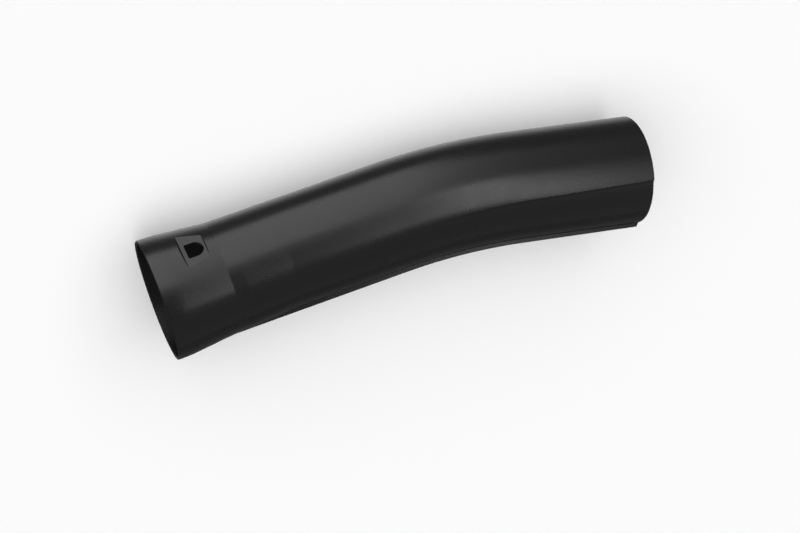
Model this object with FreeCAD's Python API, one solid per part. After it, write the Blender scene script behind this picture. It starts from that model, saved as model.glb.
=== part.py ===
import FreeCAD, Part
import math
import os

# Nozzle tube of a leaf blower, one moulded piece, millimetres and degrees.
# It is built with the socket's axis along +X from the mouth, the outside of the bend toward +Y
# and the latch side toward +Z, and is then laid down as it comes to rest on a floor.

# Socket, whose rim is wider than the tube by the flare
SOCKET_FLARE = 4.0
BAND_LENGTH = 9.5
BAND_BLEND_RADIUS = 120.0
CONE_END = 50.0
RIM_CHAMFER = 0.5
LEAD_IN = 1.0

# Tube
TUBE_RADIUS = 41.0
WALL = 2.0
BEND_START = 180.0
BEND_RADIUS = 495.0
BEND_ANGLE = 11.7
LENGTH = 376.0
OUTLET_EDGE_RADIUS = 1.2

# Brow along both sides from the bend to the outlet, counted as an angle from the top of the section
BROW_HEIGHT = 1.6
BROW_ANGLE_START = 97.0
BROW_ANGLE_END = 90.0
BROW_STEP_ANGLE = 3.5

# The tube's underside draws in behind the socket and comes back toward the outlet
WAIST_START = 60.0
WAIST_FULL = 95.0
WAIST_DEPTH = 2.2
WAIST_DEPTH_END = 0.4

# Keel rib along the underside, with its height counted from the tube's full radius
KEEL_WIDTH = 3.0
KEEL_ANGLE = 167.0
KEEL_HEIGHT_START = 0.3
KEEL_HEIGHT_END = 2.2
KEEL_SETBACK = 0.3
KEEL_END_SLANT = 1.6

# Latch flat, which lies under the tube's outside by the sink and whose end walls lean outward by the draft
FLAT_ANGLE = 34.5
FLAT_START = 25.1
FLAT_END = 42.1
FLAT_SINK = 0.4
FLAT_DRAFT = 28.0

# Latch window, which lies below the middle of the flat by the shift
WINDOW_START = 27.8
WINDOW_WIDTH = 13.0
WINDOW_LENGTH = 12.9
WINDOW_SHIFT = 0.6
WINDOW_CORNER = 1.2

# Turns that lay the piece on a floor: about its length and across it
REST_ROLL = -9.4
REST_PITCH = 0.39

# Distance by which a cutting tool stands past the face it cuts
OVERRUN = 10.0
# Length by which joined bodies overlap
OVERLAP = 6.0
# Steps between the sections of the bend and of the outlet's rounded end
BEND_STEPS = 4
LIP_STEPS = 2

RIM_RADIUS = TUBE_RADIUS + SOCKET_FLARE
FLAT_DISTANCE = TUBE_RADIUS - FLAT_SINK
CONE_SLOPE = SOCKET_FLARE / (CONE_END - BAND_LENGTH)
BEND_END = BEND_START + BEND_RADIUS * math.radians(BEND_ANGLE)
KEEL_OFFSET = TUBE_RADIUS * math.sin(math.radians(KEEL_ANGLE))
TOP = FreeCAD.Vector(0, 1, 0)
NEAR = FreeCAD.Vector(0, 0, 1)
AXIS = FreeCAD.Vector(1, 0, 0)
ORIGIN = FreeCAD.Vector(0, 0, 0)


def share(value, start, end):
    """How far a value lies between start and end, from 0 to 1."""
    return min(max((value - start) / (end - start), 0.0), 1.0)


def blend(first, last, part):
    """Value between first and last."""
    return first + (last - first) * part


def turn_at(station):
    """Angle by which the centre line has turned at a station, in radians."""
    return min(max((station - BEND_START) / BEND_RADIUS, 0.0), math.radians(BEND_ANGLE))


def centre_at(station):
    """Point of the centre line at a distance from the mouth."""
    turn = turn_at(station)
    before = min(station, BEND_START)
    after = max(station - BEND_END, 0.0)
    x = before + BEND_RADIUS * math.sin(turn) + after * math.cos(turn)
    y = -BEND_RADIUS * (1.0 - math.cos(turn)) - after * math.sin(turn)
    return FreeCAD.Vector(x, y, 0)


def up_at(station):
    """Direction toward the top of the section."""
    turn = turn_at(station)
    return FreeCAD.Vector(math.sin(turn), math.cos(turn), 0)


def surface_point(station, angle, radius):
    """Point of a section at an angle from its top, positive toward the latch side."""
    swing = math.radians(angle)
    return centre_at(station) + up_at(station) * (radius * math.cos(swing)) + NEAR * (radius * math.sin(swing))


def brow_height(station):
    return BROW_HEIGHT * share(station, BEND_START, LENGTH)


def brow_angle(station):
    return blend(BROW_ANGLE_START, BROW_ANGLE_END, share(station, BEND_START, LENGTH))


def waist_depth(station):
    """How far the underside is drawn in, while the top stays in line."""
    depth = blend(WAIST_DEPTH, WAIST_DEPTH_END, share(station, WAIST_FULL, LENGTH))
    return depth * share(station, WAIST_START, WAIST_FULL)


def section_point(station, angle, radius):
    """Point of the tube's own section, whose centre lies above the centre line by half the waist."""
    return surface_point(station, angle, radius) + up_at(station) * (waist_depth(station) / 2.0)


def keel_radius(station):
    """Distance of the keel's foot from the centre line."""
    return TUBE_RADIUS + blend(KEEL_HEIGHT_START, KEEL_HEIGHT_END, share(station, CONE_END, LENGTH))


def keel_point(station, radius):
    """Point in the bend's plane that lies as low as the keel does at a distance from the centre line."""
    return centre_at(station) - up_at(station) * math.sqrt(radius ** 2 - KEEL_OFFSET ** 2)


def outer_section(station, inset=0.0):
    """Closed section of the outside: upper arc, brow step, lower arc, brow step."""
    radius = TUBE_RADIUS - waist_depth(station) / 2.0 - inset
    edge = radius + brow_height(station)
    edge_angle = brow_angle(station)
    root_angle = edge_angle + BROW_STEP_ANGLE
    near_edge = section_point(station, edge_angle, edge)
    near_root = section_point(station, root_angle, radius)
    far_root = section_point(station, -root_angle, radius)
    far_edge = section_point(station, -edge_angle, edge)
    edges = [
        Part.Arc(far_edge, section_point(station, 0.0, radius), near_edge).toShape(),
        Part.makeLine(near_edge, near_root),
        Part.Arc(near_root, section_point(station, 180.0, radius), far_root).toShape(),
        Part.makeLine(far_root, far_edge),
    ]
    return Part.Wire(edges)


def hollow_section(station):
    """Round section of the hollow, one wall inside the outer section."""
    radius = TUBE_RADIUS - waist_depth(station) / 2.0 - WALL
    along = NEAR.cross(up_at(station))
    return Part.Wire(Part.makeCircle(radius, section_point(station, 0.0, 0.0), along))


def swept_tube(section, start, end):
    """Solid tube from start to end: straight runs between the marks and a smooth run through the bend."""
    runs = [(start, WAIST_START), (WAIST_START, WAIST_FULL), (WAIST_FULL, BEND_START), (BEND_END, end)]
    solids = [Part.makeLoft([section(first), section(last)], True, True) for first, last in runs]
    bend = [section(blend(BEND_START, BEND_END, step / BEND_STEPS)) for step in range(BEND_STEPS + 1)]
    solids.append(Part.makeLoft(bend, True, False))
    return solids[0].fuse(solids[1:])


def outlet_lip():
    """Rounded end of the outlet: sections that draw in along a quarter circle."""
    wires = []
    for step in range(LIP_STEPS + 1):
        swing = math.pi / 2 * step / LIP_STEPS
        station = LENGTH - OUTLET_EDGE_RADIUS * (1.0 - math.sin(swing))
        wires.append(outer_section(station, OUTLET_EDGE_RADIUS * (1.0 - math.cos(swing))))
    return Part.makeLoft(wires, True, True)


def socket_outside():
    """Solid of the rim band and the cone, with the band blended into the cone."""
    half_turn = math.atan(CONE_SLOPE) / 2.0
    reach = BAND_BLEND_RADIUS * math.tan(half_turn)
    middle_drop = BAND_BLEND_RADIUS * (1.0 / math.cos(half_turn) - 1.0)
    blend_start = FreeCAD.Vector(BAND_LENGTH - reach, RIM_RADIUS, 0)
    blend_end = FreeCAD.Vector(BAND_LENGTH + reach * math.cos(2.0 * half_turn),
                               RIM_RADIUS - reach * math.sin(2.0 * half_turn), 0)
    blend_middle = FreeCAD.Vector(BAND_LENGTH - middle_drop * math.sin(half_turn),
                                  RIM_RADIUS - middle_drop * math.cos(half_turn), 0)
    edge_start = FreeCAD.Vector(0, RIM_RADIUS - RIM_CHAMFER, 0)
    edge_end = FreeCAD.Vector(RIM_CHAMFER, RIM_RADIUS, 0)
    cone_end = FreeCAD.Vector(CONE_END, TUBE_RADIUS, 0)
    axis_end = FreeCAD.Vector(CONE_END, 0, 0)
    outline = [
        Part.makeLine(ORIGIN, edge_start),
        Part.makeLine(edge_start, edge_end),
        Part.makeLine(edge_end, blend_start),
        Part.Arc(blend_start, blend_middle, blend_end).toShape(),
        Part.makeLine(blend_end, cone_end),
        Part.makeLine(cone_end, axis_end),
        Part.makeLine(axis_end, ORIGIN),
    ]
    return Part.Face(Part.Wire(outline)).revolve(ORIGIN, AXIS, 360)


def socket_hollow():
    """Hollow of the socket: lead-in, straight bore and inner cone."""
    bore = RIM_RADIUS - WALL
    lead = bore + LEAD_IN
    points = [
        FreeCAD.Vector(-OVERRUN, 0, 0),
        FreeCAD.Vector(-OVERRUN, lead, 0),
        FreeCAD.Vector(0, lead, 0),
        FreeCAD.Vector(LEAD_IN, bore, 0),
        FreeCAD.Vector(BAND_LENGTH, bore, 0),
        FreeCAD.Vector(CONE_END, TUBE_RADIUS - WALL, 0),
        FreeCAD.Vector(CONE_END, 0, 0),
    ]
    outline = Part.makePolygon(points + points[:1])
    return Part.Face(outline).revolve(ORIGIN, AXIS, 360)


def flat_frame(station, distance):
    """Place a tool on the latch flat: its X along the tube, its Z out of the flat."""
    turn = FreeCAD.Rotation(AXIS, FLAT_ANGLE - 90.0)
    return FreeCAD.Placement(turn.multVec(FreeCAD.Vector(station, 0, distance)), turn)


def flat_block(start, end, distance, draft=0.0):
    """Everything that lies outside a flat between two stations, with ends that lean outward by the draft."""
    lean = RIM_RADIUS * math.tan(math.radians(draft))
    points = [
        FreeCAD.Vector(start, -RIM_RADIUS, 0),
        FreeCAD.Vector(end, -RIM_RADIUS, 0),
        FreeCAD.Vector(end + lean, -RIM_RADIUS, RIM_RADIUS),
        FreeCAD.Vector(start - lean, -RIM_RADIUS, RIM_RADIUS),
    ]
    outline = Part.makePolygon(points + points[:1])
    block = Part.Face(outline).extrude(FreeCAD.Vector(0, 2.0 * RIM_RADIUS, 0))
    block.Placement = flat_frame(0.0, distance)
    return block


def latch_window():
    """Cutter of the window: square toward the rim, half round toward the tube."""
    half = WINDOW_WIDTH / 2.0
    straight = WINDOW_LENGTH - half
    upper_end = FreeCAD.Vector(straight, half - WINDOW_SHIFT, 0)
    lower_end = FreeCAD.Vector(straight, -half - WINDOW_SHIFT, 0)
    tip = FreeCAD.Vector(WINDOW_LENGTH, -WINDOW_SHIFT, 0)
    upper_corner = FreeCAD.Vector(0, half - WINDOW_SHIFT, 0)
    lower_corner = FreeCAD.Vector(0, -half - WINDOW_SHIFT, 0)
    outline = [
        Part.makeLine(upper_corner, upper_end),
        Part.Arc(upper_end, tip, lower_end).toShape(),
        Part.makeLine(lower_end, lower_corner),
        Part.makeLine(lower_corner, upper_corner),
    ]
    depth = 2.0 * OVERRUN
    prism = Part.Face(Part.Wire(outline)).extrude(FreeCAD.Vector(0, 0, depth))
    corners = [edge for edge in prism.Edges
               if abs(edge.CenterOfMass.x) < 1e-6 and abs(edge.Length - depth) < 1e-6]
    prism = prism.makeFillet(WINDOW_CORNER, corners)
    prism.Placement = flat_frame(WINDOW_START, FLAT_DISTANCE - OVERRUN)
    return prism


def keel():
    """Thin rib beside the plane of the bend, from the cone to the outlet, which reaches into the hollow."""
    start = CONE_END - OVERLAP
    end = LENGTH - KEEL_SETBACK
    slant_end = end - KEEL_END_SLANT
    bend_middle = (BEND_START + BEND_END) / 2.0

    def foot(station):
        return keel_point(station, keel_radius(station))

    def root(station):
        return keel_point(station, TUBE_RADIUS - OVERRUN)

    corner = keel_point(end, TUBE_RADIUS - OUTLET_EDGE_RADIUS)
    outline = [
        Part.makeLine(root(start), foot(start)),
        Part.makeLine(foot(start), foot(BEND_START)),
        Part.Arc(foot(BEND_START), foot(bend_middle), foot(BEND_END)).toShape(),
        Part.makeLine(foot(BEND_END), foot(slant_end)),
        Part.makeLine(foot(slant_end), corner),
        Part.makeLine(corner, root(end)),
        Part.makeLine(root(end), root(BEND_END)),
        Part.Arc(root(BEND_END), root(bend_middle), root(BEND_START)).toShape(),
        Part.makeLine(root(BEND_START), root(start)),
    ]
    rib = Part.Face(Part.Wire(outline)).extrude(NEAR * KEEL_WIDTH)
    rib.translate(NEAR * (KEEL_OFFSET - KEEL_WIDTH / 2.0))
    return rib


def nozzle_tube():
    """The whole piece, with the mouth's centre at the origin."""
    start = CONE_END - OVERLAP
    outside = swept_tube(outer_section, start, LENGTH - OUTLET_EDGE_RADIUS)
    outside = outside.fuse([outlet_lip(), socket_outside(), keel()])
    outside = outside.cut(flat_block(FLAT_START, FLAT_END, FLAT_DISTANCE, FLAT_DRAFT))
    hollow = swept_tube(hollow_section, start, LENGTH + OVERLAP).fuse(socket_hollow())
    hollow = hollow.cut(flat_block(FLAT_START - WALL, FLAT_END + WALL, FLAT_DISTANCE - WALL))
    body = outside.cut([hollow, latch_window()])
    return body.removeSplitter()


def lay_down(shape):
    """Turn the piece to the way it rests and put its box's foot on the floor around the origin."""
    chord = centre_at(LENGTH)
    level = -math.degrees(math.atan2(chord.y, chord.x))
    shape.rotate(ORIGIN, NEAR, level)
    shape.rotate(ORIGIN, AXIS, REST_ROLL)
    shape.rotate(ORIGIN, TOP, REST_PITCH)
    box = shape.optimalBoundingBox()
    shape.translate(FreeCAD.Vector(-box.Center.x, -box.Center.y, -box.ZMin))
    return shape


os.makedirs("parts", exist_ok=True)
piece = lay_down(nozzle_tube())
piece.exportStep("parts/nozzle_tube.step")
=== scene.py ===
from math import pi, radians
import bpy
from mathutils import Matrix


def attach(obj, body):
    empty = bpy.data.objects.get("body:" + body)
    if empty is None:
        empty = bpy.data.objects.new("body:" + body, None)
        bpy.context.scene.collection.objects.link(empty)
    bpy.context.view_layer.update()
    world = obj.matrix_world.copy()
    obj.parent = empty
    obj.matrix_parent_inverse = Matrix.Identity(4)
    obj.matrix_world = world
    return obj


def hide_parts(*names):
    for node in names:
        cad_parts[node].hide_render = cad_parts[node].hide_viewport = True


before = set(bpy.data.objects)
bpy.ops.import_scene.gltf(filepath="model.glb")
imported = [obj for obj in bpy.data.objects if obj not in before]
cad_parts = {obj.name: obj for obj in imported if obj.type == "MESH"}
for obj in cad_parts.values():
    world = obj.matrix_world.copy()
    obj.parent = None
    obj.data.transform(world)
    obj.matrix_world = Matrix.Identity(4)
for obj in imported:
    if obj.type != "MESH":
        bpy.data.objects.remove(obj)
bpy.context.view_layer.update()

from types import SimpleNamespace

import bpy
from bpy.props import FloatProperty, FloatVectorProperty, PointerProperty
from mathutils import Matrix, Vector

bl_info = {
    "name": "Blower Nozzle Tube",
    "version": (1, 0, 0),
    "blender": (4, 5, 0),
    "location": "View3D > Sidebar > Nozzle Tube",
    "description": "Builds a bent blower nozzle tube in satin black plastic and its studio",
    "category": "Object",
}

NODE = "nozzle_tube"

# Columns of a section: each half of the top, the near side down to the keel, the far side up from it,
# the step under a brow and the keel's foot
TOP_COLUMNS = 92
SIDE_COLUMNS = 60
UNDER_COLUMNS = 84
BROW_COLUMNS = 4
KEEL_COLUMNS = 3
# Columns beside a moulded edge, and the angle that they take
EDGE_COLUMNS = 2
EDGE_ANGLE = radians(0.25)
# Columns over one brow, over the keel with a column for each of its walls, and round the whole section
BROW_SPAN = 2 * EDGE_COLUMNS + BROW_COLUMNS
KEEL_SPAN = 2 * EDGE_COLUMNS + KEEL_COLUMNS + 2
COLUMN_COUNT = 2 * TOP_COLUMNS + 2 * BROW_SPAN + SIDE_COLUMNS + KEEL_SPAN + UNDER_COLUMNS
# Rows of the rim's edge, of the outlet's rounded edge and of the two end faces
RIM_ROWS = 9
LIP_ROWS = 10
FACE_ROWS = 2
# Half the length over which a crease is softened
CREASE = 0.0004
# Share of a step after which a switch between two steps is over
SWITCH = 0.01
# Least height of the keel's walls, and the distance under which points of the wall are joined
LEAST_WALL = 0.00001
JOIN = 0.000002
# Edges that turn by more than this stay sharp
SHARP_ANGLE = radians(12)
# Least cosine of the angle from the latch flat at which its plane is followed
FLAT_REACH = 0.5
# Steps of a rounded window corner, and the share of the width that rounds one end fully
WINDOW_STEPS = 18
HALF_ROUND = 0.4999
# Reach of the window's cutter past the flat on either side, and the distance under which its points join
OVERRUN = 0.01
WINDOW_JOIN = 0.00001


# Sizes and finish that a user would change


def length_prop(name, description, millimetres):
    """Length property, written in millimetres and kept in metres."""
    return FloatProperty(
        name=name, description=description, default=millimetres / 1000, unit="LENGTH", precision=5)


def angle_prop(name, description, degrees):
    """Angle property, written in degrees and kept in radians."""
    return FloatProperty(name=name, description=description, default=radians(degrees), subtype="ANGLE")


def factor_prop(name, description, factor):
    """Factor property from 0 to 1."""
    return FloatProperty(name=name, description=description, default=factor, subtype="FACTOR", min=0, max=1)


def colour_prop(name, description, colour):
    """Colour property."""
    return FloatVectorProperty(
        name=name, description=description, default=colour, size=3, subtype="COLOR", min=0, max=1)


class TubeSizes(bpy.types.PropertyGroup):
    """Sizes of the tube, the same as those of the solid that it stands for."""

    tube_radius: length_prop("Tube radius", "Outside radius of the tube", 41.0)
    wall: length_prop("Wall", "Thickness of the wall", 2.0)
    length: length_prop("Length", "Length along the centre line", 376.0)
    outlet_edge: length_prop("Outlet edge", "Radius of the outlet's rounded edge", 1.2)
    bend_start: length_prop("Bend start", "Distance from the mouth to the bend", 180.0)
    bend_radius: length_prop("Bend radius", "Radius of the centre line in the bend", 495.0)
    bend_angle: angle_prop("Bend angle", "Angle by which the tube turns", 11.7)
    socket_flare: length_prop("Socket flare", "How far the rim stands out past the tube", 4.0)
    band_length: length_prop("Band length", "Length of the straight band at the rim", 9.5)
    band_blend: length_prop("Band blend", "Radius between the band and the cone", 120.0)
    cone_end: length_prop("Cone end", "Distance from the mouth to the end of the cone", 50.0)
    rim_edge: length_prop("Rim edge", "Radius of the rim's outer edge", 0.5)
    lead_in: length_prop("Lead-in", "Chamfer inside the mouth", 1.0)
    brow_height: length_prop("Brow height", "How far the brow stands out at the outlet", 1.6)
    brow_angle_start: angle_prop("Brow angle at the bend", "Place of the brow, counted from the top", 97.0)
    brow_angle_end: angle_prop("Brow angle at the outlet", "Place of the brow, counted from the top", 90.0)
    brow_step: angle_prop("Brow step", "Width of the step under the brow", 3.5)
    waist_start: length_prop("Waist start", "Where the underside begins to draw in", 60.0)
    waist_full: length_prop("Waist full", "Where the underside is drawn in most", 95.0)
    waist_depth: length_prop("Waist depth", "How far the underside draws in", 2.2)
    waist_depth_end: length_prop("Waist depth at the outlet", "What is left of it at the outlet", 0.4)
    keel_width: length_prop("Keel width", "Thickness of the keel rib", 3.0)
    keel_angle: angle_prop("Keel angle", "Place of the keel, counted from the top", 167.0)
    keel_height_start: length_prop("Keel height at the cone", "Height over the tube's full radius", 0.3)
    keel_height_end: length_prop("Keel height at the outlet", "Height over the tube's full radius", 2.2)
    keel_setback: length_prop("Keel setback", "Distance from the keel's end to the outlet", 0.3)
    keel_slant: length_prop("Keel slant", "Length of the slanted end", 1.6)
    flat_angle: angle_prop("Flat angle", "Place of the latch flat, counted from the top", 34.5)
    flat_start: length_prop("Flat start", "Distance from the mouth to the latch flat", 25.1)
    flat_end: length_prop("Flat end", "Distance from the mouth to the flat's end", 42.1)
    flat_sink: length_prop("Flat sink", "Depth of the flat under the tube's outside", 0.4)
    flat_draft: angle_prop("Flat draft", "Lean of the flat's end walls", 28.0)
    window_start: length_prop("Window start", "Distance from the mouth to the latch window", 27.8)
    window_width: length_prop("Window width", "Width of the latch window", 13.0)
    window_length: length_prop("Window length", "Length of the latch window", 12.9)
    window_shift: length_prop("Window shift", "How far the window lies below the flat's middle", 0.6)
    window_corner: length_prop("Window corner", "Radius of the window's two square corners", 1.2)
    rest_roll: angle_prop("Rest roll", "Turn about the length when the tube lies at rest", -9.4)
    rest_pitch: angle_prop("Rest pitch", "Turn across the length when the tube lies at rest", 0.39)


class PlasticFinish(bpy.types.PropertyGroup):
    """Look of the moulded plastic."""

    colour: colour_prop("Colour", "Colour of the plastic", (0.0055, 0.0055, 0.0057))
    colour_bloom: colour_prop("Bloom", "Colour of its slightly paler patches", (0.0070, 0.0070, 0.0072))
    roughness_low: factor_prop("Least roughness", "Roughness of the smoothest patches", 0.265)
    roughness_high: factor_prop("Most roughness", "Roughness of the dullest patches", 0.295)
    grain_size: length_prop("Grain size", "Width of the moulded grain", 0.5)
    grain_depth: length_prop("Grain depth", "Depth of the moulded grain", 0.0025)


class StudioSettings(bpy.types.PropertyGroup):
    """Floor, light and camera."""

    camera_place: FloatVectorProperty(
        name="Camera place", description="Where the camera stands", size=3, subtype="TRANSLATION",
        default=(-0.3283, 0.55833, 1.21283))
    camera_turn: FloatVectorProperty(
        name="Camera turn", description="Turn of the camera", size=3, subtype="EULER",
        default=(radians(-23.527), radians(-19.036), radians(-8.204)))
    lens: FloatProperty(name="Lens", description="Focal length in millimetres", default=81.65)
    floor_colour: colour_prop("Floor colour", "Colour of the floor", (0.92, 0.92, 0.92))


# Numbers inside a node tree


def connect(tree, item, socket):
    """Feed a socket from another socket or with a plain value."""
    if isinstance(item, Value):
        item = item.socket
    if isinstance(item, bpy.types.NodeSocket):
        tree.links.new(item, socket)
    else:
        socket.default_value = item


class Value:
    """A number in a node tree; sums written with it become maths nodes."""

    def __init__(self, tree, socket):
        self.tree = tree
        self.socket = socket

    def maths(self, operation, *items):
        node = self.tree.nodes.new("ShaderNodeMath")
        node.operation = operation
        for item, socket in zip(items, node.inputs):
            connect(self.tree, item, socket)
        return Value(self.tree, node.outputs[0])

    def __add__(self, other):
        return self.maths("ADD", self, other)

    def __sub__(self, other):
        return self.maths("SUBTRACT", self, other)

    def __rsub__(self, other):
        return self.maths("SUBTRACT", other, self)

    def __mul__(self, other):
        return self.maths("MULTIPLY", self, other)

    def __truediv__(self, other):
        return self.maths("DIVIDE", self, other)

    def __neg__(self):
        return self.maths("MULTIPLY", self, -1.0)


def sine(value):
    return value.maths("SINE", value)


def cosine(value):
    return value.maths("COSINE", value)


def root(value):
    return value.maths("SQRT", value)


def lesser(value, other):
    return value.maths("MINIMUM", value, other)


def greater(value, other):
    return value.maths("MAXIMUM", value, other)


def between(value, low, high):
    return lesser(greater(value, low), high)


def share(value, start, end):
    """How far a value lies between start and end, from 0 to 1."""
    return between((value - start) / (end - start), 0.0, 1.0)


def blend(first, last, part):
    """Value between first and last."""
    return first + (last - first) * part


def ladder(step, start, rungs):
    """Value that climbs from start through the rungs, each a number of steps and the value after them."""
    total = start
    done = 0
    before = start
    for steps, after in rungs:
        if after is not before:
            total = total + (after - before) * share(step, done, done + steps)
        done += steps
        before = after
    return total


def steps_of(rungs):
    """Number of steps in all the rungs."""
    return sum(steps for steps, after in rungs)


# The tube's form as a node tree


def add_node(tree, kind, settings=None, **inputs):
    """Node of a kind with its settings and its inputs by name."""
    node = tree.nodes.new(kind)
    for key, value in (settings or {}).items():
        setattr(node, key, value)
    for name, item in inputs.items():
        connect(tree, item, node.inputs[name.replace("_", " ")])
    return node


def vector(tree, x, y, z):
    """Vector socket from three numbers."""
    node = tree.nodes.new("ShaderNodeCombineXYZ")
    for item, socket in zip((x, y, z), node.inputs):
        connect(tree, item, socket)
    return node.outputs[0]


def numbers(tree, socket):
    """The three numbers of a vector socket."""
    node = add_node(tree, "ShaderNodeSeparateXYZ", Vector=socket)
    return [Value(tree, part) for part in node.outputs]


def position(tree):
    """The three numbers of each point's place."""
    return numbers(tree, tree.nodes.new("GeometryNodeInputPosition").outputs[0])


def tube_marks(size):
    """Lengths that follow from the tube's sizes."""
    mark = SimpleNamespace()
    mark.zero = size.length * 0.0
    mark.rim_radius = size.tube_radius + size.socket_flare
    mark.flat_distance = size.tube_radius - size.flat_sink
    mark.slope = size.socket_flare / (size.cone_end - size.band_length)
    half_turn = mark.slope.maths("ARCTANGENT", mark.slope) * 0.5
    blend_reach = size.band_blend * half_turn.maths("TANGENT", half_turn)
    mark.blend_start = size.band_length - blend_reach
    mark.blend_end = size.band_length + blend_reach * cosine(half_turn * 2.0)
    mark.bend_end = size.bend_start + size.bend_radius * size.bend_angle
    mark.lip_start = size.length - size.outlet_edge
    mark.keel_end = size.length - size.keel_setback
    mark.slant_start = mark.keel_end - size.keel_slant
    mark.keel_offset = size.tube_radius * sine(size.keel_angle)
    return mark


def wall_rows(size, mark):
    """Rungs of the rows: along the outside, over the outlet, back through the hollow and over the mouth.

    Each rung is a number of rows and the station after them.
    """
    flat_in = size.flat_start - size.wall
    flat_out = size.flat_end + size.wall

    def crease(steps, station):
        return [(steps, station - CREASE), (2, station + CREASE)]

    outside = [(RIM_ROWS, size.rim_edge), (3, mark.blend_start), (12, mark.blend_end)]
    outside += crease(8, size.cone_end) + crease(3, size.waist_start) + crease(8, size.waist_full)
    outside += [(12, size.bend_start), (50, mark.bend_end), (14, mark.slant_start), (2, mark.lip_start)]
    outside += [(LIP_ROWS, mark.lip_start)]
    outlet = [(FACE_ROWS, size.length)]
    duct = [(12, mark.bend_end), (24, size.bend_start), (6, size.waist_full), (6, size.waist_start)]
    duct += [(2, size.cone_end), (2, flat_out)]
    panel = [(1, flat_out), (8, flat_in), (1, flat_in)]
    socket = [(3, size.band_length), (3, size.lead_in), (2, mark.zero)]
    mouth = [(FACE_ROWS, mark.zero)]
    return SimpleNamespace(
        rungs=outside + outlet + duct + panel + socket + mouth,
        lip_end=steps_of(outside),
        inside_start=steps_of(outside + outlet),
        panel_start=steps_of(outside + outlet + duct),
        panel_end=steps_of(outside + outlet + duct + panel),
        inside_end=steps_of(outside + outlet + duct + panel + socket),
        count=steps_of(outside + outlet + duct + panel + socket + mouth),
    )


def row_place(size, mark, rows, row):
    """Where a row is: its station, and how far it is inside, on the latch panel and drawn in at an edge."""
    quarter = radians(90)
    on_mouth = share(row, rows.inside_end, rows.inside_end + SWITCH)
    rim_swing = (1.0 - share(row, 0, RIM_ROWS) + on_mouth) * quarter
    inside = share(row, rows.inside_start, rows.inside_start + SWITCH)
    lip_swing = (share(row, rows.lip_end - LIP_ROWS, rows.lip_end) - inside) * quarter
    outlet = share(row, rows.lip_end, rows.inside_start)
    station = ladder(row, mark.zero, rows.rungs) + size.outlet_edge * sine(lip_swing) * (1.0 - outlet)
    panel = share(row, rows.panel_start, rows.panel_start + 1)
    panel = panel - share(row, rows.panel_end - 1, rows.panel_end)
    return SimpleNamespace(
        station=between(station, 0.0, size.length),
        inner=outlet - share(row, rows.inside_end, rows.count),
        panel=panel,
        inset=size.rim_edge * (1.0 - cosine(rim_swing)) + size.outlet_edge * (1.0 - cosine(lip_swing)),
    )


def section_at(size, mark, place):
    """Sizes of the section at a row: waist, plain radius and brow."""
    station = place.station
    waist = blend(size.waist_depth, size.waist_depth_end, share(station, size.waist_full, size.length))
    waist = waist * share(station, size.waist_start, size.waist_full)
    drop = between(station - mark.blend_start, 0.0, mark.blend_end - mark.blend_start)
    socket = mark.rim_radius - size.band_blend + root(size.band_blend * size.band_blend - drop * drop)
    socket = socket - mark.slope * (between(station, mark.blend_end, size.cone_end) - mark.blend_end)
    along_brow = share(station, size.bend_start, size.length)
    brow_angle = blend(size.brow_angle_start, size.brow_angle_end, along_brow)
    return SimpleNamespace(
        lift=waist * 0.5,
        radius=socket - waist * 0.5 - place.inset,
        brow_height=size.brow_height * along_brow,
        brow_angle=brow_angle,
        brow_root=brow_angle + size.brow_step,
    )


def keel_at(size, mark, place, section):
    """The keel at a row: depth of its foot below the section's centre and the angles of its two walls."""
    station = place.station

    def depth_of(radius):
        return root(radius * radius - mark.keel_offset * mark.keel_offset) + section.lift

    height = blend(size.keel_height_start, size.keel_height_end, share(station, size.cone_end, size.length))
    slant = greater((station - mark.slant_start) / (mark.keel_end - mark.slant_start), 0.0)
    depth = blend(depth_of(size.tube_radius + height), depth_of(size.tube_radius - size.outlet_edge), slant)

    def wall(offset):
        surface = root(section.radius * section.radius - offset * offset)
        depths = (surface, greater(surface + LEAST_WALL, depth))
        return [radians(180) - offset.maths("ARCTAN2", offset, low) for low in depths]

    near_root, near_foot = wall(mark.keel_offset + size.keel_width * 0.5)
    far_root, far_foot = wall(mark.keel_offset - size.keel_width * 0.5)
    # The far wall leans back over its root, which only the outside may do
    far_foot = blend(far_foot, far_root - EDGE_ANGLE, place.inner)
    return SimpleNamespace(
        depth=depth,
        near_root=near_root,
        near_foot=near_foot,
        far_root=far_root,
        far_foot=far_foot,
    )


def column_angle(mark, section, keel, column):
    """Angle of a column from the top: down the near side, over the keel and up the far side."""
    turn = radians(360)
    rungs = [
        (TOP_COLUMNS, section.brow_angle - EDGE_ANGLE), (EDGE_COLUMNS, section.brow_angle),
        (BROW_COLUMNS, section.brow_root), (EDGE_COLUMNS, section.brow_root + EDGE_ANGLE),
        (SIDE_COLUMNS, keel.near_root - EDGE_ANGLE), (EDGE_COLUMNS, keel.near_root),
        (1, keel.near_foot), (KEEL_COLUMNS, keel.far_foot), (1, keel.far_root),
        (EDGE_COLUMNS, keel.far_root + EDGE_ANGLE),
        (UNDER_COLUMNS, turn - section.brow_root - EDGE_ANGLE), (EDGE_COLUMNS, turn - section.brow_root),
        (BROW_COLUMNS, turn - section.brow_angle), (EDGE_COLUMNS, turn - section.brow_angle + EDGE_ANGLE),
        (TOP_COLUMNS, mark.zero + turn),
    ]
    return ladder(column, mark.zero, rungs)


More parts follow.
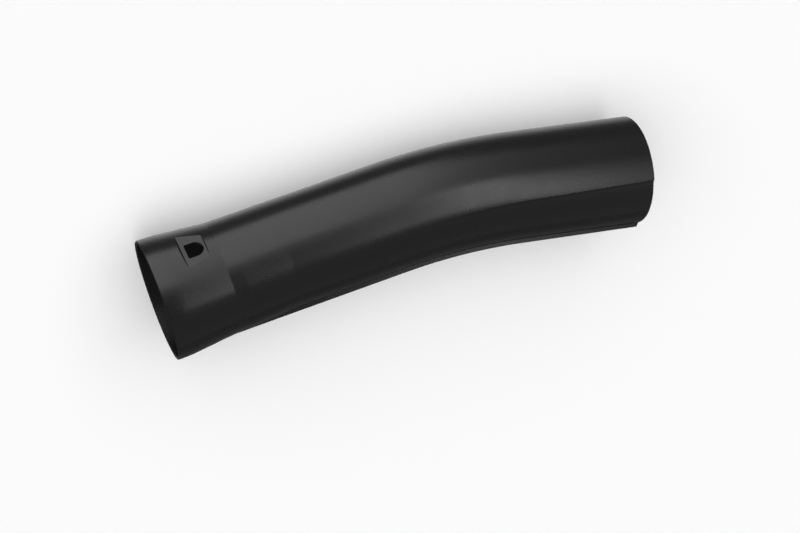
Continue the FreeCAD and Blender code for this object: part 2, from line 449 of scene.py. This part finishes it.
def outer_radius(section, keel, column, angle):
    """Radius of the outside: the fuller upper arc that ends in the brow, the round underside and the keel."""
    lip = section.radius + section.brow_height
    raised = lip * lip - section.radius * section.radius
    raised = raised / ((lip * cosine(section.brow_angle) - section.radius) * 2.0)
    reach = section.radius - raised
    swing = raised * sine(angle)
    upper = raised * cosine(angle) + root(reach * reach - swing * swing)
    from_top = lesser(column, COLUMN_COUNT - column)
    edge = TOP_COLUMNS + EDGE_COLUMNS
    lower = section.radius + section.brow_height * (1.0 - share(from_top, edge, edge + BROW_COLUMNS))
    plain = blend(upper, lower, share(from_top, edge, edge + SWITCH))
    near_wall = TOP_COLUMNS + BROW_SPAN + SIDE_COLUMNS + EDGE_COLUMNS
    far_wall = near_wall + 1 + KEEL_COLUMNS
    on_keel = share(column, near_wall, near_wall + 1) - share(column, far_wall, far_wall + 1)
    foot = greater(plain + LEAST_WALL, -(keel.depth / cosine(angle)))
    return blend(plain, foot, on_keel)


def hollow_radius(size, mark, place, section, angle):
    """Radius of the hollow: lead-in, bore, cone and tube, with the latch flat's panel standing in."""
    station = place.station
    hollow = mark.rim_radius - size.wall + greater(size.lead_in - station, 0.0)
    hollow = hollow - size.socket_flare * share(station, size.band_length, size.cone_end) - section.lift
    off_flat = greater(cosine(angle - size.flat_angle), FLAT_REACH)
    panel = (mark.flat_distance - size.wall) / off_flat
    return blend(hollow, lesser(hollow, panel), place.panel)


def tube_form(tree, size, mark):
    """Closed wall of the tube: a grid whose rows go round the wall and whose columns go round the section."""
    rows = wall_rows(size, mark)
    grid = add_node(tree, "GeometryNodeMeshGrid", Size_X=1.0, Size_Y=1.0,
                    Vertices_X=rows.count + 1, Vertices_Y=COLUMN_COUNT + 1)
    x, y = position(tree)[:2]
    row = (x + 0.5) * rows.count
    column = (y + 0.5) * COLUMN_COUNT

    place = row_place(size, mark, rows, row)
    section = section_at(size, mark, place)
    keel = keel_at(size, mark, place, section)
    angle = column_angle(mark, section, keel, column)
    outer = outer_radius(section, keel, column, angle)
    radius = blend(outer, hollow_radius(size, mark, place, section, angle), place.inner)

    turn = between((place.station - size.bend_start) / size.bend_radius, 0.0, size.bend_angle)
    past = greater(place.station - mark.bend_end, 0.0)
    centre_x = lesser(place.station, size.bend_start) + size.bend_radius * sine(turn) + past * cosine(turn)
    centre_y = -(size.bend_radius * (1.0 - cosine(turn))) - past * sine(turn)
    height = radius * cosine(angle) + section.lift
    point_x = centre_x + sine(turn) * height
    point_y = centre_y + cosine(turn) * height
    point = vector(tree, point_x, point_y, radius * sine(angle))
    moved = add_node(tree, "GeometryNodeSetPosition", Geometry=grid.outputs["Mesh"], Position=point)
    outward = add_node(tree, "GeometryNodeFlipFaces", Mesh=moved.outputs[0])
    closed = add_node(tree, "GeometryNodeMergeByDistance", Geometry=outward.outputs[0], Distance=JOIN)
    return closed.outputs[0]


def moved_on_flat(tree, size, geometry, place):
    """Geometry moved to a place on the latch flat: its X along the tube, its Z out of the flat."""
    along = add_node(tree, "GeometryNodeTransform", Geometry=geometry, Translation=vector(tree, *place))
    turned = add_node(tree, "GeometryNodeTransform", Geometry=along.outputs[0],
                      Rotation=vector(tree, size.flat_angle - radians(90), 0.0, 0.0))
    return turned.outputs[0]


def flat_cutter(tree, size, mark):
    """Block that takes away everything outside the latch flat, with ends that lean outward by the draft."""
    span = size.flat_end - size.flat_start
    deep = size.tube_radius
    block = add_node(tree, "GeometryNodeMeshCube", Size=vector(tree, span, deep * 2.0, deep))
    x, y, z = position(tree)
    lean = (z + deep * 0.5) * size.flat_draft.maths("TANGENT", size.flat_draft)
    spread = vector(tree, x + lean * x.maths("SIGN", x), y, z)
    block = add_node(tree, "GeometryNodeSetPosition", Geometry=block.outputs[0], Position=spread)
    middle = size.flat_start + span * 0.5
    return moved_on_flat(tree, size, block.outputs[0], (middle, 0.0, mark.flat_distance + deep * 0.5))


def window_cutter(tree, size, mark):
    """Prism of the window: square toward the rim, half round toward the tube."""
    outline = add_node(tree, "GeometryNodeCurvePrimitiveQuadrilateral", Width=size.window_length,
                       Height=size.window_width)
    along = position(tree)[0]
    round_end = along.maths("GREATER_THAN", along, 0.0)
    corner = blend(size.window_corner, size.window_width * HALF_ROUND, round_end)
    rounded = add_node(tree, "GeometryNodeFilletCurve", {"mode": "POLY"}, Curve=outline.outputs[0],
                       Count=WINDOW_STEPS, Radius=corner)
    face = add_node(tree, "GeometryNodeFillCurve", {"mode": "NGONS"}, Curve=rounded.outputs[0])
    solid = add_node(tree, "GeometryNodeExtrudeMesh", Mesh=face.outputs[0], Offset_Scale=2.0 * OVERRUN)
    foot = add_node(tree, "GeometryNodeFlipFaces", Mesh=face.outputs[0])
    both = tree.nodes.new("GeometryNodeJoinGeometry")
    tree.links.new(solid.outputs[0], both.inputs[0])
    tree.links.new(foot.outputs[0], both.inputs[0])
    prism = add_node(tree, "GeometryNodeMergeByDistance", Geometry=both.outputs[0], Distance=WINDOW_JOIN)
    middle = size.window_start + size.window_length * 0.5
    place = (middle, -size.window_shift, mark.flat_distance - OVERRUN)
    return moved_on_flat(tree, size, prism.outputs[0], place)


def cut(tree, solid, cutter):
    """Solid less a cutter."""
    node = tree.nodes.new("GeometryNodeMeshBoolean")
    node.operation = "DIFFERENCE"
    node.solver = "MANIFOLD"
    tree.links.new(solid, node.inputs["Mesh 1"])
    tree.links.new(cutter, node.inputs["Mesh 2"])
    return node.outputs[0]


def laid_down(tree, size, geometry):
    """Geometry turned to the way it rests, with its box's foot on the floor around the origin."""
    past = size.length - size.bend_start - size.bend_radius * size.bend_angle
    chord_x = size.bend_start + size.bend_radius * sine(size.bend_angle) + past * cosine(size.bend_angle)
    chord_y = size.bend_radius * (1.0 - cosine(size.bend_angle)) + past * sine(size.bend_angle)
    level = chord_y.maths("ARCTAN2", chord_y, chord_x)
    for turn in ((0.0, 0.0, level), (size.rest_roll, 0.0, 0.0), (0.0, size.rest_pitch, 0.0)):
        turned = add_node(tree, "GeometryNodeTransform", Geometry=geometry, Rotation=vector(tree, *turn))
        geometry = turned.outputs[0]
    box = add_node(tree, "GeometryNodeBoundBox", Geometry=geometry)
    low = numbers(tree, box.outputs["Min"])
    high = numbers(tree, box.outputs["Max"])
    middle_x, middle_y = [(low[axis] + high[axis]) * 0.5 for axis in (0, 1)]
    place = vector(tree, -middle_x, -middle_y, -low[2])
    return add_node(tree, "GeometryNodeTransform", Geometry=geometry, Translation=place).outputs[0]


def shaded(tree, geometry):
    """Smooth faces with the real edges kept sharp."""
    smooth = add_node(tree, "GeometryNodeSetShadeSmooth", {"domain": "FACE"}, Geometry=geometry,
                      Shade_Smooth=True)
    bend = tree.nodes.new("GeometryNodeInputMeshEdgeAngle")
    sharp = Value(tree, bend.outputs["Unsigned Angle"])
    sharp = sharp.maths("GREATER_THAN", sharp, SHARP_ANGLE)
    edges = add_node(tree, "GeometryNodeSetShadeSmooth", {"domain": "EDGE"}, Geometry=smooth.outputs[0],
                     Selection=sharp, Shade_Smooth=False)
    return edges.outputs[0]


def tube_tree(names):
    """Node tree of the whole tube, with one named input for each size and one for the material."""
    tree = bpy.data.node_groups.new("Nozzle Tube", "GeometryNodeTree")
    tree.interface.new_socket("Geometry", in_out="OUTPUT", socket_type="NodeSocketGeometry")
    for name in names:
        tree.interface.new_socket(name, in_out="INPUT", socket_type="NodeSocketFloat")
    tree.interface.new_socket("material", in_out="INPUT", socket_type="NodeSocketMaterial")
    source = tree.nodes.new("NodeGroupInput")
    size = SimpleNamespace(**{name: Value(tree, source.outputs[name]) for name in names})
    mark = tube_marks(size)
    solid = tube_form(tree, size, mark)
    solid = cut(tree, solid, flat_cutter(tree, size, mark))
    solid = cut(tree, solid, window_cutter(tree, size, mark))
    solid = shaded(tree, laid_down(tree, size, solid))
    real = add_node(tree, "GeometryNodeRealizeInstances", Geometry=solid)
    dressed = add_node(tree, "GeometryNodeSetMaterial", Geometry=real.outputs[0],
                       Material=source.outputs["material"])
    result = tree.nodes.new("NodeGroupOutput")
    tree.links.new(dressed.outputs[0], result.inputs[0])
    return tree


def socket_names(tree):
    """Identifier of each named input of a tree."""
    return {item.name: item.identifier for item in tree.interface.items_tree if item.in_out == "INPUT"}


def made_mesh(tree, values, name):
    """Plain mesh of a tree with its inputs set."""
    holder = bpy.data.objects.new(name + "_form", bpy.data.meshes.new(name + "_form"))
    bpy.context.scene.collection.objects.link(holder)
    modifier = holder.modifiers.new("Form", "NODES")
    modifier.node_group = tree
    for key, identifier in socket_names(tree).items():
        modifier[identifier] = values[key]
    graph = bpy.context.evaluated_depsgraph_get()
    mesh = bpy.data.meshes.new_from_object(holder.evaluated_get(graph))
    mesh.name = name
    holder.modifiers.remove(modifier)
    bpy.data.objects.remove(holder)
    return mesh


# Material


def satin_black(finish):
    """Satin black plastic: slightly uneven gloss, a faint bloom and a fine moulded grain."""
    material = bpy.data.materials.new("satin_black_plastic")
    material.use_nodes = True
    tree = material.node_tree
    shader = tree.nodes["Principled BSDF"]
    shader.inputs["IOR"].default_value = 1.45
    place = tree.nodes.new("ShaderNodeTexCoord").outputs["Object"]

    patches = add_node(tree, "ShaderNodeTexNoise", Vector=place, Scale=18.0, Detail=3.0, Roughness=0.55)
    colour = tree.nodes.new("ShaderNodeMix")
    colour.data_type = "RGBA"
    connect(tree, patches.outputs["Fac"], colour.inputs["Factor"])
    colour.inputs["A"].default_value = (*finish.colour, 1.0)
    colour.inputs["B"].default_value = (*finish.colour_bloom, 1.0)
    tree.links.new(colour.outputs["Result"], shader.inputs["Base Color"])

    dull = add_node(tree, "ShaderNodeTexNoise", Vector=place, Scale=60.0, Detail=4.0, Roughness=0.6)
    rough = add_node(tree, "ShaderNodeMapRange", Value=dull.outputs["Fac"], From_Min=0.3, From_Max=0.7,
                     To_Min=finish.roughness_low, To_Max=finish.roughness_high)
    tree.links.new(rough.outputs["Result"], shader.inputs["Roughness"])

    grain = add_node(tree, "ShaderNodeTexNoise", Vector=place, Scale=1.0 / finish.grain_size, Detail=2.0,
                     Roughness=0.5)
    bump = add_node(tree, "ShaderNodeBump", Height=grain.outputs["Fac"], Strength=1.0,
                    Distance=finish.grain_depth)
    tree.links.new(bump.outputs["Normal"], shader.inputs["Normal"])
    return material


# The tube as one piece


class OBJECT_OT_nozzle_tube_add(bpy.types.Operator):
    """Build the moulded tube in place of its plain solid"""

    bl_idname = "object.nozzle_tube_add"
    bl_label = "Add Nozzle Tube"

    def execute(self, context):
        sizes = context.scene.tube_sizes
        names = list(TubeSizes.__annotations__)
        values = {name: getattr(sizes, name) for name in names}
        values["material"] = satin_black(context.scene.plastic_finish)
        mesh = made_mesh(tube_tree(names), values, "moulded_tube")
        if not mesh.polygons:
            raise RuntimeError("The tube's form is empty")
        tube = bpy.data.objects.new("moulded_tube", mesh)
        context.scene.collection.objects.link(tube)
        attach(tube, "root")
        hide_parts(NODE)
        return {"FINISHED"}


# Studio

# Glowing cards: name, place, the point that they face, direction of their first side, size and radiance
MIDDLE = (0.0, 0.0, 0.045)
CARDS = (
    ("back_card", (-0.95, 1.7, 0.62), (-0.95, 0.0, 0.62), (1, 0, 0), (2.9, 2.76), 2.05),
    ("back_edge_card", (0.75, 1.7, 0.85), (0.75, 0.0, 0.85), (1, 0, 0), (0.5, 2.3), 0.55),
    ("back_top_card", (-0.95, 1.7, 2.7), (-0.95, 0.0, 2.7), (1, 0, 0), (2.9, 1.4), 0.4),
    ("strip_card", (0.54, 0.425, 1.4), MIDDLE, (0.12, 1, 0), (1.35, 0.2), 6.0),
    ("front_card", (0.5, -1.45, 1.3), MIDDLE, (1, 0, 0), (2.6, 2.4), 0.15),
)
# Fill lights for the floor: name, strength and whether they cast a shadow
FILLS = (("shadow_fill", 0.7, True), ("even_fill", 2.65, False))
FILL_TURN = (radians(-25), radians(-15), 0.0)
FILL_WIDTH = radians(110)
# Strength of the surroundings and of the glow in them, the way to the glow and the cosine at its edge
SURROUNDINGS = 0.12
GLOW = 0.92
GLOW_DIRECTION = Vector((0.25, 0.05, -0.967)).normalized()
GLOW_EDGE = 0.87
# Half the floor's side
FLOOR_HALF = 30.0


def add_floor(studio):
    """Pale matt floor under the tube."""
    corners = [(x * FLOOR_HALF, y * FLOOR_HALF, 0.0) for x, y in ((-1, -1), (1, -1), (1, 1), (-1, 1))]
    mesh = bpy.data.meshes.new("floor")
    mesh.from_pydata(corners, [], [(0, 1, 2, 3)])
    material = bpy.data.materials.new("pale_floor")
    material.use_nodes = True
    shader = material.node_tree.nodes["Principled BSDF"]
    shader.inputs["Base Color"].default_value = (*studio.floor_colour, 1.0)
    shader.inputs["Roughness"].default_value = 0.9
    shader.inputs["Specular IOR Level"].default_value = 0.0
    mesh.materials.append(material)
    floor = bpy.data.objects.new("floor", mesh)
    bpy.context.scene.collection.objects.link(floor)
    # The floor neither shows in the gloss nor hides the glow below
    floor.visible_glossy = False
    floor.visible_shadow = False


def add_card(name, place, aim, along, size, radiance):
    """Glowing card that is seen only in the gloss, with its first side along a direction."""
    light = bpy.data.lights.new(name, "AREA")
    light.shape = "RECTANGLE"
    light.size, light.size_y = size
    light.energy = radiance * pi * size[0] * size[1]
    card = bpy.data.objects.new(name, light)
    out = (place - aim).normalized()
    across = out.cross(along).normalized()
    turn = Matrix((across.cross(out), across, out)).transposed()
    card.matrix_world = Matrix.Translation(place) @ turn.to_4x4()
    card.visible_camera = False
    card.visible_diffuse = False
    bpy.context.scene.collection.objects.link(card)


def add_fill(name, strength, shadow):
    """Wide even light for the floor, with or without a shadow and with no highlight."""
    light = bpy.data.lights.new(name, "SUN")
    light.energy = strength
    light.angle = FILL_WIDTH
    light.use_shadow = shadow
    sun = bpy.data.objects.new(name, light)
    sun.rotation_euler = FILL_TURN
    sun.visible_glossy = False
    bpy.context.scene.collection.objects.link(sun)


def set_surroundings():
    """Dim surroundings that glow below, like a pale floor in the gloss."""
    world = bpy.data.worlds.new("studio")
    world.use_nodes = True
    tree = world.node_tree
    direction = tree.nodes.new("ShaderNodeTexCoord").outputs["Generated"]
    toward = tree.nodes.new("ShaderNodeVectorMath")
    toward.operation = "DOT_PRODUCT"
    connect(tree, direction, toward.inputs[0])
    connect(tree, GLOW_DIRECTION, toward.inputs[1])
    level = add_node(tree, "ShaderNodeMapRange", Value=toward.outputs["Value"],
                     From_Min=GLOW_EDGE, From_Max=1.0, To_Min=SURROUNDINGS, To_Max=GLOW)
    back = tree.nodes["Background"]
    back.inputs["Color"].default_value = (1.0, 1.0, 1.0, 1.0)
    tree.links.new(level.outputs["Result"], back.inputs["Strength"])
    bpy.context.scene.world = world


def add_camera(studio):
    """Camera at the photograph's viewing angle."""
    camera = bpy.data.cameras.new("camera")
    camera.sensor_fit = "HORIZONTAL"
    camera.sensor_width = 36.0
    camera.lens = studio.lens
    view = bpy.data.objects.new("camera", camera)
    view.location = studio.camera_place
    view.rotation_euler = studio.camera_turn
    bpy.context.scene.collection.objects.link(view)
    bpy.context.scene.camera = view


class OBJECT_OT_nozzle_studio_add(bpy.types.Operator):
    """Set up the floor, the soft lights and the camera"""

    bl_idname = "object.nozzle_studio_add"
    bl_label = "Add Studio"

    def execute(self, context):
        studio = context.scene.studio_settings
        add_floor(studio)
        for name, place, aim, along, size, radiance in CARDS:
            add_card(name, Vector(place), Vector(aim), Vector(along), size, radiance)
        for name, strength, shadow in FILLS:
            add_fill(name, strength, shadow)
        set_surroundings()
        add_camera(studio)
        context.scene.view_settings.view_transform = "Standard"
        return {"FINISHED"}


# Panel and start


class VIEW3D_PT_nozzle_tube(bpy.types.Panel):
    """Tube sizes, finish and the building steps"""

    bl_label = "Nozzle Tube"
    bl_idname = "VIEW3D_PT_nozzle_tube"
    bl_space_type = "VIEW_3D"
    bl_region_type = "UI"
    bl_category = "Nozzle Tube"

    def draw(self, context):
        layout = self.layout
        for group in (context.scene.tube_sizes, context.scene.plastic_finish, context.scene.studio_settings):
            column = layout.column()
            for name in type(group).__annotations__:
                column.prop(group, name)
        layout.operator(OBJECT_OT_nozzle_tube_add.bl_idname)
        layout.operator(OBJECT_OT_nozzle_studio_add.bl_idname)


CLASSES = (
    TubeSizes,
    PlasticFinish,
    StudioSettings,
    OBJECT_OT_nozzle_tube_add,
    OBJECT_OT_nozzle_studio_add,
    VIEW3D_PT_nozzle_tube,
)


def register():
    for cls in CLASSES:
        bpy.utils.register_class(cls)
    bpy.types.Scene.tube_sizes = PointerProperty(type=TubeSizes)
    bpy.types.Scene.plastic_finish = PointerProperty(type=PlasticFinish)
    bpy.types.Scene.studio_settings = PointerProperty(type=StudioSettings)


def unregister():
    del bpy.types.Scene.studio_settings
    del bpy.types.Scene.plastic_finish
    del bpy.types.Scene.tube_sizes
    for cls in reversed(CLASSES):
        bpy.utils.unregister_class(cls)


def main():
    register()
    bpy.ops.object.nozzle_tube_add()
    bpy.ops.object.nozzle_studio_add()


if __name__ == "__main__":
    main()
